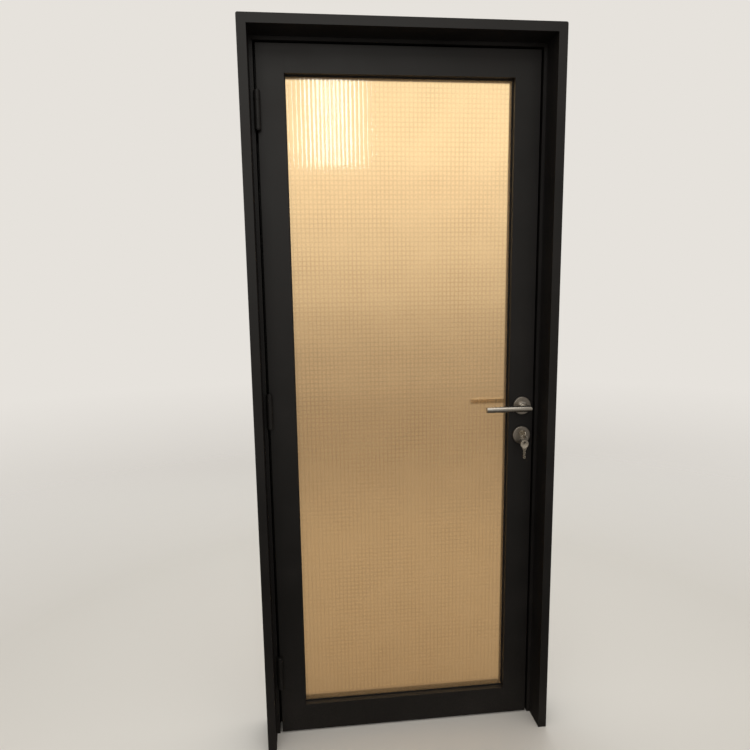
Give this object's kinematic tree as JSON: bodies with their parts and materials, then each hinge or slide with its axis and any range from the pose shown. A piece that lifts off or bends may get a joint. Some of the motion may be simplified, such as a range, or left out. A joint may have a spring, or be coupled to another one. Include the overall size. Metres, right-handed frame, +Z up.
{
  "type": "glass door",
  "caption": "Black framed door with a full-height patterned glass pane, hinges on the left, lever handle, mortise lock, key and ring.",
  "frame": {"origin": "middle of the base rectangle, on the floor", "axes": "+Z up along the posts; +X from the hinge side to the lock side; -Y towards the side the leaf opens to"},
  "size_m": [0.884, 0.191, 2.1],
  "materials": {
    "coated_aluminium": "black powder coat, satin",
    "plain_aluminium": "as cast and sawn",
    "coated_steel": "black powder coat, satin",
    "screw_steel": "turned",
    "stainless": "satin brushed",
    "zinc_steel": "zinc plated",
    "nickel_brass": "nickel plated",
    "patterned_glass": "rolled with crossed reeds",
    "seal_rubber": "extruded, matte",
    "brush": "bristle",
    "setting_plastic": "moulded"
  },
  "bodies": {
    "frame": {"hinge_side_trim": "coated_aluminium", "lock_side_trim": "coated_aluminium", "head_trim": "coated_aluminium", "hinge_jamb": "coated_aluminium", "lock_jamb": "coated_aluminium", "head_jamb": "coated_aluminium", "trim_screws": "screw_steel", "frame_corner_blocks": "plain_aluminium", "frame_corner_screws": "screw_steel", "hinge_side_seal": "seal_rubber", "lock_side_seal": "seal_rubber", "head_seal": "seal_rubber", "strike_plate": "stainless", "strike_screws": "screw_steel", "hinge_frame_wings": "coated_steel", "hinge_pins": "coated_steel", "hinge_screws_frame": "screw_steel"},
    "leaf": {"hinge_leaf_wings": "coated_steel", "hinge_screws_leaf": "screw_steel", "hinge_stile": "coated_aluminium", "lock_stile": "coated_aluminium", "top_rail": "coated_aluminium", "bottom_rail": "coated_aluminium", "leaf_corner_blocks": "plain_aluminium", "leaf_corner_screws": "screw_steel", "glass_pane": "patterned_glass", "front_gasket": "seal_rubber", "back_gasket": "seal_rubber", "top_bead": "coated_aluminium", "bottom_bead": "coated_aluminium", "hinge_side_bead": "coated_aluminium", "lock_side_bead": "coated_aluminium", "setting_blocks": "setting_plastic", "bottom_brush_seal": "brush", "lock_case": "zinc_steel", "lock_faceplate": "stainless", "faceplate_screws": "screw_steel", "lever_rose_front": "stainless", "lever_rose_back": "stainless", "cylinder_rose_front": "stainless", "cylinder_rose_back": "stainless", "rose_bases": "zinc_steel", "rose_screws": "screw_steel", "cylinder_body": "nickel_brass", "cylinder_screw": "screw_steel", "back_plug": "nickel_brass"},
    "lever": {"lever_front": "stainless", "lever_back": "stainless", "lever_grub_screws": "screw_steel", "spindle": "zinc_steel", "follower": "zinc_steel"},
    "latch": {"latch_bolt": "stainless"},
    "bolt": {"deadbolt": "stainless"},
    "key": {"front_plug": "nickel_brass", "cam": "nickel_brass", "key_in_lock": "nickel_brass"},
    "ring": {"key_ring": "nickel_brass"},
    "spare": {"spare_key": "nickel_brass"}
  },
  "joints": [
    {"name": "leaf_swing", "type": "hinge", "parent": "frame", "child": "leaf", "pos_m": [-0.4, -0.0305, 0], "axis": [0, 0, -1], "range_deg": [0, 100]},
    {"name": "lever_turn", "type": "hinge", "parent": "leaf", "child": "lever", "pos_m": [0.365, 0, 1.04], "axis": [0, -1, 0], "range_deg": [0, 40], "stiffness_Nm_per_rad": 1.5, "springref_deg": -34.38},
    {"name": "latch_slide", "type": "slide", "parent": "leaf", "child": "latch", "axis": [-1, 0, 0], "range_m": [0, 0.012]},
    {"name": "key_turn", "type": "hinge", "parent": "leaf", "child": "key", "pos_m": [0.365, 0, 0.955], "axis": [0, 1, 0], "range_deg": [0, 180]},
    {"name": "deadbolt_slide", "type": "slide", "parent": "leaf", "child": "bolt", "axis": [1, 0, 0], "range_m": [0, 0.02]},
    {"name": "ring_swing", "type": "hinge", "parent": "key", "child": "ring", "pos_m": [0.365, -0.053, 0.955], "axis": [1, 0, 0], "range_deg": [-80, 20]},
    {"name": "spare_key_swing", "type": "hinge", "parent": "ring", "child": "spare", "pos_m": [0.365, -0.053, 0.9312], "axis": [0, 1, 0], "range_deg": [-50, 50]}
  ],
  "couplings": [
    {"joint": "latch_slide", "follows": "lever_turn", "m_per_rad": 0.017188},
    {"joint": "deadbolt_slide", "follows": "key_turn", "m_per_rad": 0.006366}
  ]
}
